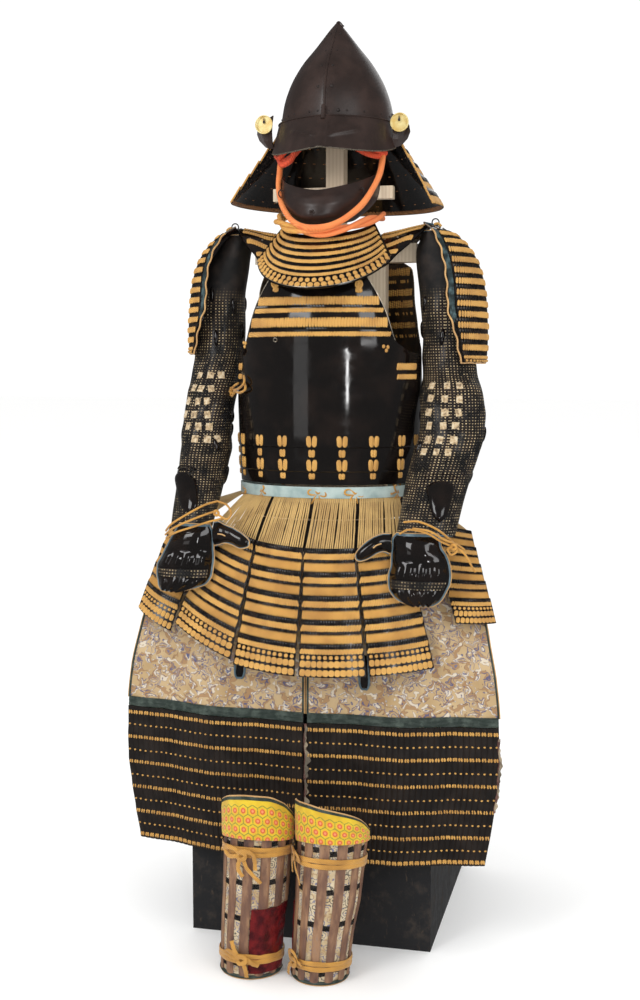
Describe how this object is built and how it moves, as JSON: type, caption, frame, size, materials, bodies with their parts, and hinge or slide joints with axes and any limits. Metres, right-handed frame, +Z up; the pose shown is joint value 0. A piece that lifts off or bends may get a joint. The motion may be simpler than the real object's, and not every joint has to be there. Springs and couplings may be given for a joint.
{
  "type": "samurai armour on a wooden stand and armour box",
  "caption": "Full samurai armour with pointed helmet, half mask, gold-laced lames, mail sleeves, brocade thigh apron and shin guards, set out on its stand and lacquered box.",
  "frame": {"origin": "middle of the armour box's underside, on the floor", "axes": "+Z up; the armour faces -Y; +X is the viewer's right"},
  "size_m": [0.6906, 0.6402, 1.6948],
  "materials": {
    "black_lacquer": "polished black lacquer over iron",
    "russet_iron": "russet lacquered iron, satin",
    "laced_lames": "black lacquered lames laced with gold silk braid",
    "gold_lace": "gold silk braid",
    "gilt": "gilt copper, soft shine",
    "orange_cord": "twisted orange silk cord",
    "mail_cloth": "blackened mail over brocade",
    "brocade": "beige silk brocade",
    "dark_leather": "dark green leather, matt",
    "pale_cloth": "pale blue-green printed cloth",
    "knee_cloth": "yellow quilted silk",
    "splints": "worn brown splints over brocade",
    "mustard_tie": "woven mustard tape",
    "pale_wood": "plain planed wood",
    "box_lacquer": "worn black lacquer"
  },
  "bodies": {
    "root": {"armour_box_body": "box_lacquer", "armour_box_lid": "box_lacquer", "stand_torso_board": "pale_wood", "stand_shoulder_bar": "pale_wood", "stand_post": "pale_wood", "stand_neck_bar": "pale_wood", "helmet_bowl": "russet_iron", "helmet_visor": "russet_iron", "helmet_wing_left": "russet_iron", "helmet_disc_left": "gilt", "helmet_wing_right": "russet_iron", "helmet_disc_right": "gilt", "neck_guard_1": "laced_lames", "neck_guard_2": "laced_lames", "neck_guard_3": "laced_lames", "neck_guard_4": "laced_lames", "neck_guard_5": "laced_lames", "half_mask": "russet_iron", "throat_bib": "gold_lace", "chin_cord": "orange_cord", "throat_cord": "orange_cord", "cuirass_front": "black_lacquer", "cuirass_back": "black_lacquer", "shoulder_strap_left": "gold_lace", "shoulder_strap_right": "gold_lace", "tasset_belt": "pale_cloth", "tasset_cords": "gold_lace", "tasset_left_front": "laced_lames", "tasset_right_front": "laced_lames", "tasset_left_hip": "laced_lames", "tasset_right_hip": "laced_lames", "tasset_left_side": "laced_lames", "tasset_right_side": "laced_lames", "tasset_left_back": "laced_lames", "tasset_right_back": "laced_lames", "shoulder_guard_left": "laced_lames", "sleeve_left": "mail_cloth", "shoulder_guard_right": "laced_lames", "sleeve_right": "mail_cloth", "hand_guard_left": "black_lacquer", "thumb_guard_left": "black_lacquer", "hand_guard_right": "black_lacquer", "thumb_guard_right": "black_lacquer", "thigh_apron_cloth_left": "brocade", "thigh_apron_band_left": "dark_leather", "thigh_apron_plates_left": "laced_lames", "thigh_apron_cloth_right": "brocade", "thigh_apron_band_right": "dark_leather", "thigh_apron_plates_right": "laced_lames", "thigh_apron_waistband": "pale_cloth", "shin_guard_left": "splints", "knee_piece_left": "knee_cloth", "shin_tie_upper_left": "mustard_tie", "shin_tie_lower_left": "mustard_tie", "shin_guard_right": "splints", "knee_piece_right": "knee_cloth", "shin_tie_upper_right": "mustard_tie", "shin_tie_lower_right": "mustard_tie"}
  },
  "joints": []
}
